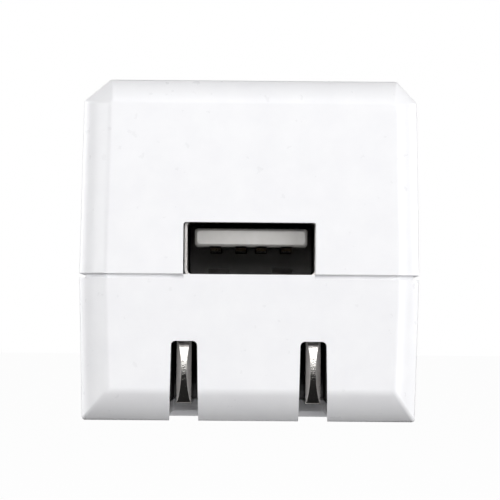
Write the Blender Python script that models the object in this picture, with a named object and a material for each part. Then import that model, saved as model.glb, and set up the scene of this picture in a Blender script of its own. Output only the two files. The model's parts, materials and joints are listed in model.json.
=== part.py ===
"""A cube-like USB wall charger with two folding mains blades.

Frame: +Z is up, the USB face looks along -Y, and +X is to the right as that face is seen.
The origin is in the middle of the bottom face, which lies against the wall socket in use.
All sizes here are millimetres. MM turns them into metres where a mesh or a place is made.
"""

import math

import bmesh
import bpy
from mathutils import Vector

MM = 0.001

# Outside of the closed case
DEPTH = 36.0
HEIGHT = 33.55
HALF_SEAM = 16.75
HALF_TOP = 16.4
HALF_BOTTOM = 16.4

# Soft chamfer round the front face and round the back face, a little wider on the -X side
CHAMFER_LEFT = 2.6
CHAMFER_RIGHT = 2.0
CHAMFER_TOP = 2.15
CHAMFER_BOTTOM = 2.9
CHAMFER_DEPTH = 2.3
CHAMFER_CROWN = 0.35
CHAMFER_STEPS = 3
FRONT_CORNER = 0.3

# Walls and the seam between the two shells
WALL = 2.0
FLOOR = 1.8
SEAM_LOW = 14.15
SEAM_HIGH = 14.55
SEAM_DEPTH = 0.6
RIM_WIDTH = 1.2
RIM_TOP = 15.6
BIG = 20.0
FIT = 0.1
CLEAR = 0.3

# USB receptacle
PORT_HALF = 6.5
PORT_TOP = 19.5
LIP_THICK = 1.0
USB_X = 0.15
USB_HALF = 6.55
USB_LOW = 14.12
USB_HIGH = 19.84
USB_SHEET = 0.3
USB_FRONT = -16.9
USB_BACK = -2.9
TONGUE_HALF = 5.55
TONGUE_LOW = 17.15
TONGUE_HIGH = 18.95
TONGUE_FRONT = -15.9
TONGUE_ROOT = -5.0
USB_CONTACTS = (-3.5, -1.0, 1.0, 3.5)
USB_TAB = 3.1

# Blades and their pivot
BLADE_PITCH = 12.7
BLADE_THICK = 1.5
BLADE_HALF = 3.175
BLADE_REACH = 17.9
NOSE_RADIUS = 10.5
NOSE_CORNER = 0.3
NOSE_HALF = 0.27
NOSE_BEVEL = 0.6
PIVOT_Y = 6.0
PIVOT_Z = 4.9
SHANK_HALF = 2.0
TAIL = 4.0
HUB_RADIUS = 2.95
HUB_HALF = 8.6
JOURNAL_RADIUS = 1.35
JOURNAL_END = 10.0
SLOT_TOP = 7.85
SLOT_HALF_TOP = 1.28
SLOT_HALF_LOW = 1.45
NOSE_RELIEF = (-17.1, 8.45)
RECESS_HALF = 3.0
RECESS_DEPTH = 0.6
RECESS_ENDS = (-15.2, 10.6)
CRADLE_HALF = 10.2
CRADLE_TOP = 10.4

# Circuit board and what stands on it
BOARD_LOW = 12.9
BOARD_HIGH = 14.1
BOARD_HALF_X = 13.5
BOARD_HALF_Y = 15.3
TRANSFORMER_Y = 3.4
CORE_HALF_Y = 2.9


def material(name, colour, roughness, metallic=0.0):
    """A plain Principled material."""
    made = bpy.data.materials.new(name)
    made.use_nodes = True
    shader = made.node_tree.nodes["Principled BSDF"]
    shader.inputs["Base Color"].default_value = (*colour, 1.0)
    shader.inputs["Roughness"].default_value = roughness
    shader.inputs["Metallic"].default_value = metallic
    made.diffuse_color = (*colour, 1.0)
    return made


def add_loft(bm, rings):
    """A closed solid through rings that all have the same number of points."""
    loops = [[bm.verts.new(point) for point in ring] for ring in rings]
    bm.faces.new(loops[0])
    bm.faces.new(loops[-1])
    count = len(loops[0])
    for first, second in zip(loops, loops[1:]):
        for i in range(count):
            j = (i + 1) % count
            bm.faces.new((first[i], first[j], second[j], second[i]))


def add_box(bm, x, y, z):
    """A box between the two values of each axis."""
    add_loft(bm, [[(x[0], y[0], h), (x[1], y[0], h), (x[1], y[1], h), (x[0], y[1], h)] for h in z])


def add_prism(bm, outline, axis, ends):
    """An outline of two coordinates, drawn out along the axis that it leaves open."""
    place = {
        "x": lambda a, b, end: (end, a, b),
        "y": lambda a, b, end: (a, end, b),
        "z": lambda a, b, end: (a, b, end),
    }[axis]
    add_loft(bm, [[place(a, b, end) for a, b in outline] for end in ends])


def circle(centre, radius, count=16, start=0.0, turn=math.tau):
    """Points on an arc, or on a whole circle where turn is left out."""
    whole = abs(turn - math.tau) < 1e-6
    steps = count if whole else count + 1
    return [
        (
            centre[0] + radius * math.cos(start + turn * i / count),
            centre[1] + radius * math.sin(start + turn * i / count),
        )
        for i in range(steps)
    ]


def rounded_box(half_a, half_b, radius, count=3):
    """A rectangle's outline about the middle, with round corners."""
    points = []
    for quarter, (sign_a, sign_b) in enumerate(((1, 1), (-1, 1), (-1, -1), (1, -1))):
        centre = (sign_a * (half_a - radius), sign_b * (half_b - radius))
        points += circle(centre, radius, count, quarter * math.pi / 2, math.pi / 2)
    return points


def add_turned(bm, centre, profile, count=20):
    """A solid turned about a vertical line, from (radius, height) points."""
    add_loft(bm, [[(a, b, h) for a, b in circle(centre, radius, count)] for radius, h in profile])


def strip(path, thickness):
    """The outline of a bent strip of one thickness about a path."""
    points = [Vector(point) for point in path]
    left, right = [], []
    for i, point in enumerate(points):
        before = (point - points[i - 1]).normalized() if i else None
        after = (points[i + 1] - point).normalized() if i + 1 < len(points) else None
        along = ((before or after) + (after or before)).normalized()
        side = Vector((-along.y, along.x))
        reach = thickness / 2 / max(0.3, side.dot(Vector((-(after or before).y, (after or before).x))))
        left.append(tuple(point + side * reach))
        right.append(tuple(point - side * reach))
    return left + right[::-1]


def make(name, bm, look=None, parent=None):
    """An object from a bmesh in millimetres. Its origin is its parent's, or the case's."""
    bmesh.ops.recalc_face_normals(bm, faces=bm.faces)
    bmesh.ops.scale(bm, vec=(MM, MM, MM), verts=bm.verts)
    mesh = bpy.data.meshes.new(name)
    bm.to_mesh(mesh)
    bm.free()
    made = bpy.data.objects.new(name, mesh)
    bpy.context.scene.collection.objects.link(made)
    if parent:
        made.parent = parent
    if look:
        mesh.materials.append(look)
        mesh.shade_smooth()
        mesh.set_sharp_from_angle(angle=math.radians(32))
    return made


def solid(name, look, shape, parent):
    """A sub-part whose whole shape one function adds to a bmesh."""
    bm = bmesh.new()
    shape(bm)
    return make(name, bm, look, parent)


def combine(target, operation, label, shape):
    """A Boolean with a helper that the function shapes, kept out of the render."""
    bm = bmesh.new()
    shape(bm)
    helper = make(f"{target.name}_{label}", bm, parent=target.parent)
    helper.hide_render = True
    helper.display_type = "WIRE"
    modifier = target.modifiers.new(label, "BOOLEAN")
    modifier.operation = operation
    modifier.solver = "EXACT"
    modifier.use_self = True
    modifier.object = helper


def cut(target, label, shape):
    combine(target, "DIFFERENCE", label, shape)


def join(target, label, shape):
    combine(target, "UNION", label, shape)


def chamfer_step(part):
    """How far in and how far back a crowned chamfer is, part of the way round it."""
    angle = part * math.pi / 2
    inward = (1 - CHAMFER_CROWN) * part + CHAMFER_CROWN * math.sin(angle)
    back = (1 - CHAMFER_CROWN) * part + CHAMFER_CROWN * (1 - math.cos(angle))
    return 1 - inward, back


def case_section(inset):
    """The case's outline across its depth, with inset 1 on the end faces and 0 between them."""
    low = CHAMFER_BOTTOM * inset
    high = HEIGHT - CHAMFER_TOP * inset
    drop = CHAMFER_TOP + (FRONT_CORNER - CHAMFER_TOP) * inset
    seam = (SEAM_LOW + SEAM_HIGH) / 2

    def half(sign, chamfer):
        side = chamfer * inset
        corner = chamfer + (FRONT_CORNER - chamfer) * inset
        return [
            (sign * (HALF_BOTTOM - side), low),
            (sign * (HALF_SEAM - side), seam),
            (sign * (HALF_TOP - side), high - drop),
            (sign * (HALF_TOP - side - corner), high),
        ]

    return half(1, CHAMFER_RIGHT) + half(-1, CHAMFER_LEFT)[::-1]


def add_case(bm):
    """The whole case as one solid block."""
    steps = [chamfer_step(i / CHAMFER_STEPS) for i in range(CHAMFER_STEPS + 1)]
    ends = [(inset, -DEPTH / 2 + back * CHAMFER_DEPTH) for inset, back in steps]
    rings = ends + [(inset, -y) for inset, y in reversed(ends)]
    add_loft(bm, [[(x, y, z) for x, z in case_section(inset)] for inset, y in rings])


def plan(inward):
    """The case's outline at the seam, seen from above, moved inward."""
    half_x = HALF_SEAM - inward
    half_y = DEPTH / 2 - inward

    def half(sign, chamfer):
        """One side, whose slanting corner has moved as far inward as the walls have."""
        slant = inward * math.hypot(chamfer, CHAMFER_DEPTH)
        reach = CHAMFER_DEPTH * (HALF_SEAM - chamfer) + chamfer * DEPTH / 2 - slant
        cut_x = sign * (reach - chamfer * half_y) / CHAMFER_DEPTH
        cut_y = (reach - CHAMFER_DEPTH * half_x) / chamfer
        return [(cut_x, -half_y), (sign * half_x, -cut_y), (sign * half_x, cut_y), (cut_x, half_y)]

    return half(1, CHAMFER_RIGHT) + half(-1, CHAMFER_LEFT)[::-1]


def add_cavity(bm, low, high):
    """The space inside the walls, between two heights."""
    half_x = HALF_TOP - WALL
    half_y = DEPTH / 2 - WALL
    corner = 1.2
    outline = [
        (half_x, low),
        (half_x, high - corner),
        (half_x - corner, high),
        (corner - half_x, high),
        (-half_x, high - corner),
        (-half_x, low),
    ]
    add_prism(bm, outline, "y", (-half_y, half_y))


def blade_middles():
    """How far each blade stands from the middle, with its side's name."""
    return ((-BLADE_PITCH / 2, "left"), (BLADE_PITCH / 2, "right"))


def build_upper_shell(white):
    shell = solid("upper_shell", white, add_case, None)
    cut(shell, "below_seam", lambda bm: add_box(bm, (-BIG, BIG), (-BIG, BIG), (-BIG, SEAM_HIGH)))
    cut(shell, "cavity", lambda bm: add_cavity(bm, SEAM_LOW, HEIGHT - WALL))
    rebate = (SEAM_LOW, RIM_TOP + FIT * 2)
    cut(shell, "rim_rebate", lambda bm: add_prism(bm, plan(SEAM_DEPTH - FIT), "z", rebate))

    def port(bm):
        corner = 0.5
        half = [(PORT_HALF, SEAM_LOW)]
        half += circle((PORT_HALF - corner, PORT_TOP - corner), corner, 3, 0, math.pi / 2)
        outline = half + [(-x, z) for x, z in reversed(half)]
        add_prism(bm, outline, "y", (-DEPTH / 2 - 1, USB_FRONT + 1))
        pocket = (USB_X - USB_HALF - CLEAR, USB_X + USB_HALF + CLEAR)
        add_box(bm, pocket, (USB_FRONT - FIT, USB_FRONT + 2), (SEAM_LOW, USB_HIGH + CLEAR))

    cut(shell, "port", port)

    def ribs(bm):
        for side in (-1, 1):
            x = sorted((side * 12.7, side * (HALF_TOP - WALL + 0.2)))
            add_box(bm, x, (-0.8, 0.8), (BOARD_HIGH + CLEAR, HEIGHT - WALL + 0.5))

    join(shell, "board_ribs", ribs)


def build_lower_shell(white):
    shell = solid("lower_shell", white, add_case, None)
    cut(shell, "above_seam", lambda bm: add_box(bm, (-BIG, BIG), (-BIG, BIG), (SEAM_LOW, HEIGHT + 1)))

    def rim(bm):
        add_prism(bm, plan(SEAM_DEPTH), "z", (SEAM_LOW - 0.5, RIM_TOP))

    join(shell, "rim", rim)
    cut(shell, "cavity", lambda bm: add_cavity(bm, FLOOR, RIM_TOP + 5))
    inner = SEAM_DEPTH + RIM_WIDTH
    cut(shell, "rim_inside", lambda bm: add_prism(bm, plan(inner), "z", (SEAM_LOW - 0.4, RIM_TOP + 5)))
    front = -DEPTH / 2

    def port_gap(bm):
        half = USB_HALF + CLEAR
        gap = (USB_X - half - 0.5, USB_X + half + 0.5)
        add_box(bm, gap, (front - 1, front + 4), (SEAM_LOW, RIM_TOP + 1))
        seat = (USB_X - half, USB_X + half)
        add_box(bm, seat, (front + LIP_THICK, front + 4), (SEAM_LOW - 0.3, RIM_TOP + 1))

    cut(shell, "port_gap", port_gap)

    def lip(bm):
        half = PORT_HALF - FIT
        add_box(bm, (-half, half), (front, front + LIP_THICK), (SEAM_LOW - 0.2, SEAM_HIGH))

    join(shell, "port_lip", lip)

    def blade_slots(bm):
        back = PIVOT_Y + BLADE_HALF + CLEAR
        corner = 0.4
        half = [(SLOT_HALF_LOW, -1), (SLOT_HALF_TOP + 0.02, SLOT_TOP - corner)]
        half += circle((SLOT_HALF_TOP - corner, SLOT_TOP - corner), corner, 2, 0, math.pi / 2)
        outline = half + [(-x, z) for x, z in reversed(half)]
        for middle, _ in blade_middles():
            add_prism(bm, [(middle + x, z) for x, z in outline], "y", (front - 1, back))

    cut(shell, "blade_slots", blade_slots)

    def nose_reliefs(bm):
        """Room for the top of each blade's nose behind the top of its slot."""
        y, top = NOSE_RELIEF
        for middle, _ in blade_middles():
            x = (middle - SLOT_HALF_TOP, middle + SLOT_HALF_TOP)
            add_box(bm, x, (y, WALL - DEPTH / 2 + 1), (SLOT_TOP - 1, top))

    cut(shell, "nose_reliefs", nose_reliefs)

    def recesses(bm):
        """A shallow recess in the wall face round each blade."""
        for middle, _ in blade_middles():
            x = (middle - RECESS_HALF, middle + RECESS_HALF)
            add_box(bm, x, RECESS_ENDS, (-1, RECESS_DEPTH))

    cut(shell, "recesses", recesses)

    def posts(bm):
        for side in (-1, 1):
            for end in (-1, 1):
                x = sorted((side * 12.4, side * (HALF_TOP - WALL + 0.2)))
                y = sorted((end * 12.6, end * 14.6))
                add_box(bm, x, y, (FLOOR - 0.5, BOARD_LOW - CLEAR))

    join(shell, "board_posts", posts)


def build_cradle(black, works):
    low = FLOOR + CLEAR
    front = -DEPTH / 2 + WALL + CLEAR
    back = 11.2
    cradle = solid(
        "blade_cradle",
        black,
        lambda bm: add_box(bm, (-CRADLE_HALF, CRADLE_HALF), (front, back), (low, CRADLE_TOP)),
        works,
    )

    def channels(bm):
        for middle, _ in blade_middles():
            add_box(bm, (middle - 1.25, middle + 1.25), (front - 1, back - 0.8), (low - 1, 8.6))

    cut(cradle, "channels", channels)

    def chamber(bm):
        half = HUB_HALF + CLEAR
        reach = HUB_RADIUS + 0.15
        add_box(bm, (-half, half), (PIVOT_Y - reach, PIVOT_Y + reach), (low - 1, CRADLE_TOP + 1))

    cut(cradle, "hub_chamber", chamber)

    def bearings(bm):
        radius = JOURNAL_RADIUS + FIT
        outline = circle((PIVOT_Y, PIVOT_Z), radius, 8, math.pi, math.pi)
        outline += [(PIVOT_Y + radius, CRADLE_TOP + 1), (PIVOT_Y - radius, CRADLE_TOP + 1)]
        add_prism(bm, outline, "x", (-CRADLE_HALF - 1, CRADLE_HALF + 1))

    cut(cradle, "bearings", bearings)


def build_blades(nickel, pivot):
    """Both blades, lying along -Y from the pivot, each with its tail behind the hub."""
    tip = -PIVOT_Z - BLADE_REACH
    shoulder = HUB_RADIUS + FIT
    flat = BLADE_HALF - NOSE_CORNER
    sweep = math.asin(flat / NOSE_RADIUS)
    nose = circle((tip + NOSE_RADIUS, 0), NOSE_RADIUS, 4, math.pi + sweep, -2 * sweep)
    sag = NOSE_RADIUS - NOSE_RADIUS * math.cos(sweep)
    blade = [(tip + sag + NOSE_CORNER, -BLADE_HALF), *nose, (tip + sag + NOSE_CORNER, BLADE_HALF)]
    tail_angle = math.asin(SHANK_HALF / TAIL)
    blade += [(-shoulder, BLADE_HALF), (-shoulder, SHANK_HALF)]
    blade += circle((0, 0), TAIL, 6, tail_angle, -2 * tail_angle)
    blade += [(-shoulder, -SHANK_HALF), (-shoulder, -BLADE_HALF)]
    half = BLADE_THICK / 2
    for middle, side in blade_middles():
        ends = (middle - half, middle + half)
        made = solid(f"blade_{side}", nickel, lambda bm, e=ends: add_prism(bm, blade, "x", e), pivot)

        def bevels(bm, middle=middle):
            """Two wedges that thin the nose from both faces."""
            slope = (half - NOSE_HALF) / NOSE_BEVEL
            for face in (-1, 1):
                inner = middle + face * (NOSE_HALF - FIT * slope)
                outer = middle + face * (half + FIT * slope)
                outline = [(inner, tip - FIT), (outer, tip - FIT), (outer, tip + NOSE_BEVEL + FIT)]
                add_prism(bm, outline, "z", (-BLADE_HALF - 1, BLADE_HALF + 1))

        cut(made, "nose_bevels", bevels)
        hole = circle((-PIVOT_Z - 11.9, 0.0), 1.5, 16)
        cut(made, "hole", lambda bm, e=ends: add_prism(bm, hole, "x", (e[0] - 1, e[1] + 1)))


def build_hub(black, pivot):
    hub = solid(
        "blade_hub",
        black,
        lambda bm: add_prism(bm, circle((0, 0), HUB_RADIUS, 24), "x", (-HUB_HALF, HUB_HALF)),
        pivot,
    )
    join(
        hub,
        "journals",
        lambda bm: add_prism(bm, circle((0, 0), JOURNAL_RADIUS, 16), "x", (-JOURNAL_END, JOURNAL_END)),
    )

    def shank_pockets(bm):
        fit = 0.03
        half = BLADE_THICK / 2 + fit
        high = SHANK_HALF + fit
        for middle, _ in blade_middles():
            add_box(bm, (middle - half, middle + half), (-HUB_RADIUS - 1, HUB_RADIUS + 1), (-high, high))

    cut(hub, "shank_pockets", shank_pockets)

    def cam_flats(bm):
        flat = 2.4
        add_box(bm, (-2.2, 2.2), (-5, 5), (flat, 5))
        add_box(bm, (-2.2, 2.2), (flat, 5), (-5, 5))

    cut(hub, "cam_flats", cam_flats)


def build_retainer(black, works):
    low = CRADLE_TOP + 0.4
    high = low + 0.8
    half = CRADLE_HALF - FIT
    retainer = solid(
        "hub_retainer", black, lambda bm: add_box(bm, (-half, half), (3.0, 11.1), (low, high)), works
    )

    def fingers(bm):
        for side in (-1, 1):
            x = sorted((side * 9.0, side * half))
            reach = JOURNAL_RADIUS - 0.05
            add_box(bm, x, (PIVOT_Y - reach, PIVOT_Y + reach), (PIVOT_Z + JOURNAL_RADIUS + FIT, low + 0.3))

    join(retainer, "fingers", fingers)

    def windows(bm):
        for middle, _ in blade_middles():
            add_box(bm, (middle - 1.7, middle + 1.7), (4.0, 8.8), (low - 1, high + 1))

    cut(retainer, "windows", windows)


def build_detent_spring(steel, works):
    top = PIVOT_Z + HUB_RADIUS
    seat = CRADLE_TOP + 0.2
    path = [(11.0, seat), (8.5, seat), (8.1, seat - 0.3)]
    path += [(7.6, top + 0.35), (3.9, top + 0.3), (3.5, top + 0.7)]
    half = 1.9
    solid("detent_spring", steel, lambda bm: add_prism(bm, strip(path, 0.25), "x", (-half, half)), works)


def build_mains_contacts(brass, works):
    """Springs from the board down to where each blade's tail comes when the blades are out."""
    touch = PIVOT_Z + TAIL + 0.3
    lead_y = 8.0
    path = [(lead_y, BOARD_HIGH + 0.15), (lead_y, touch + 0.3)]
    path += [(7.7, touch), (4.8, touch), (4.3, touch + 0.6)]
    outline = strip(path, 0.3)
    half = 1.2
    for middle, side in blade_middles():
        ends = (middle - half, middle + half)
        solid(f"mains_contact_{side}", brass, lambda bm, e=ends: add_prism(bm, outline, "x", e), works)
    return [(middle, lead_y, half + CLEAR, 0.45) for middle, _ in blade_middles()]


def build_board(green, leads, works):
    """The board, with a hole for each lead, given as (x, y, half width, half depth)."""
    board = solid(
        "main_board",
        green,
        lambda bm: add_box(
            bm, (-BOARD_HALF_X, BOARD_HALF_X), (-BOARD_HALF_Y, BOARD_HALF_Y), (BOARD_LOW, BOARD_HIGH)
        ),
        works,
    )

    def holes(bm):
        for x, y, half_x, half_y in leads:
            add_box(bm, (x - half_x, x + half_x), (y - half_y, y + half_y), (BOARD_LOW - 1, BOARD_HIGH + 1))

    cut(board, "lead_holes", holes)


def build_receptacle(steel, white, gold, works):
    """The steel shell, its white tongue and four contacts. Returns the leads it puts in the board."""
    tube = ((USB_X - USB_HALF, USB_X + USB_HALF), (USB_FRONT, USB_BACK), (USB_LOW, USB_HIGH))
    shell = solid("usb_shell", steel, lambda bm: add_box(bm, *tube), works)
    half = USB_HALF - USB_SHEET
    floor = USB_LOW + USB_SHEET
    roof = USB_HIGH - USB_SHEET
    bore = ((USB_X - half, USB_X + half), (USB_FRONT - 1, USB_BACK + 1), (floor, roof))
    cut(shell, "inside", lambda bm: add_box(bm, *bore))

    def tabs_and_legs(bm):
        bump = [(-16.0, floor - 0.1), (-14.4, floor + 0.6), (-13.8, floor + 0.6), (-11.5, floor - 0.1)]
        for side in (-1, 1):
            middle = USB_X + side * USB_TAB
            add_prism(bm, bump, "x", (middle - 1.0, middle + 1.0))
            x = sorted((USB_X + side * USB_HALF, USB_X + side * half))
            add_box(bm, x, (-9.4, -8.2), (BOARD_LOW - 0.7, USB_LOW + 1))

    join(shell, "tabs_and_legs", tabs_and_legs)

    fit = 0.15
    block_x = (USB_X - half + fit, USB_X + half - fit)
    block = (block_x, (TONGUE_ROOT, USB_BACK - 0.2), (floor + fit, roof - fit))
    tongue = solid("usb_tongue", white, lambda bm: add_box(bm, *block), works)

    def blade_of_tongue(bm):
        middle = (TONGUE_LOW + TONGUE_HIGH) / 2
        thick = TONGUE_HIGH - TONGUE_LOW
        outline = [(USB_X + x, middle + z) for x, z in rounded_box(TONGUE_HALF, thick / 2, 0.3, 2)]
        add_prism(bm, outline, "y", (TONGUE_FRONT, TONGUE_ROOT + 0.5))

    join(tongue, "blade", blade_of_tongue)

    contacts = [USB_X + x for x in USB_CONTACTS]

    def contact_ways(bm):
        for x in contacts:
            add_box(bm, (x - 0.6, x + 0.6), (TONGUE_ROOT - 1, USB_BACK + 1), (TONGUE_LOW - 0.5, TONGUE_LOW))

    cut(tongue, "contact_ways", contact_ways)
    foot_y = USB_BACK + 0.3
    level = TONGUE_LOW - 0.25
    outline = strip([(TONGUE_FRONT + 0.5, level), (foot_y, level), (foot_y, BOARD_LOW - 0.7)], 0.3)
    for number, x in enumerate(contacts, 1):
        ends = (x - 0.5, x + 0.5)
        solid(f"usb_contact_{number}", gold, lambda bm, e=ends: add_prism(bm, outline, "x", e), works)
    legs = [(USB_X + side * (USB_HALF - USB_SHEET / 2), -8.8, 0.45, 0.9) for side in (-1, 1)]
    return legs + [(x, foot_y, 0.7, 0.45) for x in contacts]


def build_transformer(ferrite, phenolic, tape, works):
    """Two E-shaped cores through a wound bobbin. Returns the bobbin's pins as board leads."""
    low, seat, split, crown, high = 14.5, 16.8, 21.0, 25.2, 27.5
    ends = (TRANSFORMER_Y - CORE_HALF_Y, TRANSFORMER_Y + CORE_HALF_Y)

    def core(back, root, tip):
        legs = [(6.5, back), (6.5, tip), (5.0, tip), (5.0, root), (1.6, root), (1.6, tip)]
        return legs + [(-x, z) for x, z in reversed(legs)]

    halves = (("lower", core(low, seat, split - 0.05)), ("upper", core(high, crown, split + 0.05)))
    for half, outline in halves:
        solid(f"transformer_core_{half}", ferrite, lambda bm, o=outline: add_prism(bm, o, "y", ends), works)

    post = 1.8
    shaft = TRANSFORMER_Y - 3.1, TRANSFORMER_Y + 3.1

    def flanges(bm):
        for z in ((seat + 0.2, seat + 0.9), (crown - 0.9, crown - 0.2)):
            add_box(bm, (-4.7, 4.7), (TRANSFORMER_Y - 5.2, TRANSFORMER_Y + 5.2), z)

    bobbin = solid(
        "transformer_bobbin",
        phenolic,
        lambda bm: add_box(
            bm, (-2.3, 2.3), (TRANSFORMER_Y - 3.6, TRANSFORMER_Y + 3.6), (seat + 0.2, crown - 0.2)
        ),
        works,
    )
    join(bobbin, "flanges", flanges)
    pins = [(x, TRANSFORMER_Y + y) for y in (-4.3, 4.3) for x in (-3.2, 0.0, 3.2)]

    def rails(bm):
        for end in (-1, 1):
            y = sorted((TRANSFORMER_Y + end * 3.3, TRANSFORMER_Y + end * 5.2))
            add_box(bm, (-4.7, 4.7), y, (BOARD_HIGH + CLEAR, seat + 0.5))
        for x, y in pins:
            add_prism(bm, circle((x, y), 0.35, 8), "z", (BOARD_LOW - 0.6, seat + 0.4))

    join(bobbin, "rails_and_pins", rails)
    cut(bobbin, "core_way", lambda bm: add_box(bm, (-post, post), shaft, (seat - 1, crown + 1)))

    def shifted(half_x, half_y, radius):
        return [(x, y + TRANSFORMER_Y) for x, y in rounded_box(half_x, half_y, radius)]

    winding = solid(
        "transformer_winding",
        tape,
        lambda bm: add_prism(bm, shifted(4.6, 5.0, 1.6), "z", (seat + 1.1, crown - 1.1)),
        works,
    )
    cut(winding, "bobbin_way", lambda bm: add_prism(bm, shifted(2.5, 3.8, 0.4), "z", (seat, crown)))
    return [(x, y, 0.6, 0.6) for x, y in pins]


def build_capacitor(name, look, works, centre, radius, height):
    """A round capacitor standing on the board, with its rolled groove. Returns its two leads."""
    base = BOARD_HIGH + CLEAR
    groove = radius - 0.35
    profile = [(radius - 0.3, base), (radius, base + 0.3), (radius, base + 1.4), (groove, base + 1.8)]
    profile += [(radius, base + 2.2), (radius, base + height - 0.4), (radius - 0.4, base + height)]
    can = solid(name, look, lambda bm: add_turned(bm, centre, profile), works)
    leads = [(centre[0] + side * radius * 0.4, centre[1]) for side in (-1, 1)]

    def wires(bm):
        for lead in leads:
            add_prism(bm, circle(lead, 0.3, 8), "z", (BOARD_LOW - 0.6, base + 0.5))

    join(can, "wires", wires)
    return [(x, y, 0.6, 0.6) for x, y in leads]


def build_inductor(ferrite, works):
    """A drum inductor: a waisted bobbin of ferrite, its wire taken as part of the waist."""
    base = BOARD_HIGH + CLEAR
    centre = (-10.5, 4.4)
    profile = [(2.4, base), (2.4, base + 0.8), (2.0, base + 0.9), (2.0, base + 4.7), (2.4, base + 4.8)]
    profile += [(2.4, base + 5.6)]
    drum = solid("filter_inductor", ferrite, lambda bm: add_turned(bm, centre, profile), works)
    leads = [(centre[0], centre[1] + side * 1.5) for side in (-1, 1)]

    def wires(bm):
        for lead in leads:
            add_prism(bm, circle(lead, 0.3, 8), "z", (BOARD_LOW - 0.6, base + 0.5))

    join(drum, "wires", wires)
    return [(x, y, 0.6, 0.6) for x, y in leads]


def build_resistor(look, works):
    """A fusible resistor standing on end, with its top lead folded back down."""
    base = BOARD_HIGH + CLEAR
    centre = (-1.3, 13.2)
    profile = [(1.2, base), (1.6, base + 0.6), (1.6, base + 1.8), (1.35, base + 2.2), (1.35, base + 5.0)]
    profile += [(1.6, base + 5.4), (1.6, base + 6.6), (1.2, base + 7.2)]
    body = solid("fusible_resistor", look, lambda bm: add_turned(bm, centre, profile, 16), works)
    path = [(centre[0], base + 6.8), (centre[0], base + 8.2), (centre[0] + 2.6, base + 8.2)]
    path += [(centre[0] + 2.6, BOARD_LOW - 0.6)]

    def wires(bm):
        add_prism(bm, strip(path, 0.5), "y", (centre[1] - 0.25, centre[1] + 0.25))
        add_prism(bm, circle(centre, 0.3, 8), "z", (BOARD_LOW - 0.6, base + 0.5))

    join(body, "wires", wires)
    return [(centre[0], centre[1], 0.6, 0.6), (centre[0] + 2.6, centre[1], 0.6, 0.6)]


def build_safety_capacitor(look, works):
    """A disc capacitor on edge beside the transformer."""
    x, y, z, radius = 10.2, 3.6, 19.6, 3.3
    ends = (x - 1.2, x + 1.2)
    outline = circle((y, z), radius, 20)
    disc = solid("safety_capacitor", look, lambda bm: add_prism(bm, outline, "x", ends), works)
    leads = [(x, y + side * 2.2) for side in (-1, 1)]

    def wires(bm):
        for lead in leads:
            add_prism(bm, circle(lead, 0.3, 8), "z", (BOARD_LOW - 0.6, z - 1.0))

    join(disc, "wires", wires)
    return [(a, b, 0.6, 0.6) for a, b in leads]


def build_chip(name, look, works, centre, half, height, lead_xs):
    """A moulded package under the board, with short leads at the front and back."""
    top = BOARD_LOW - 0.25
    low = top - height
    x, y = centre
    draft = 0.15
    middle = (low + top) / 2
    rings = [
        [(x + a * (half[0] - d), y + b * (half[1] - d), z) for a, b in ((-1, -1), (1, -1), (1, 1), (-1, 1))]
        for d, z in ((draft, low), (0.0, middle), (draft, top))
    ]
    chip = solid(name, look, lambda bm: add_loft(bm, rings), works)

    def leads(bm):
        for end in (-1, 1):
            root = y + end * (half[1] - 0.4)
            bend = y + end * (half[1] + 0.35)
            foot = y + end * (half[1] + 0.8)
            path = [(root, middle), (bend, middle), (bend, BOARD_LOW - 0.2), (foot, BOARD_LOW - 0.2)]
            for lead_x in lead_xs:
                add_prism(bm, strip(path, 0.2), "x", (x + lead_x - 0.2, x + lead_x + 0.2))

    join(chip, "leads", leads)


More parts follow.
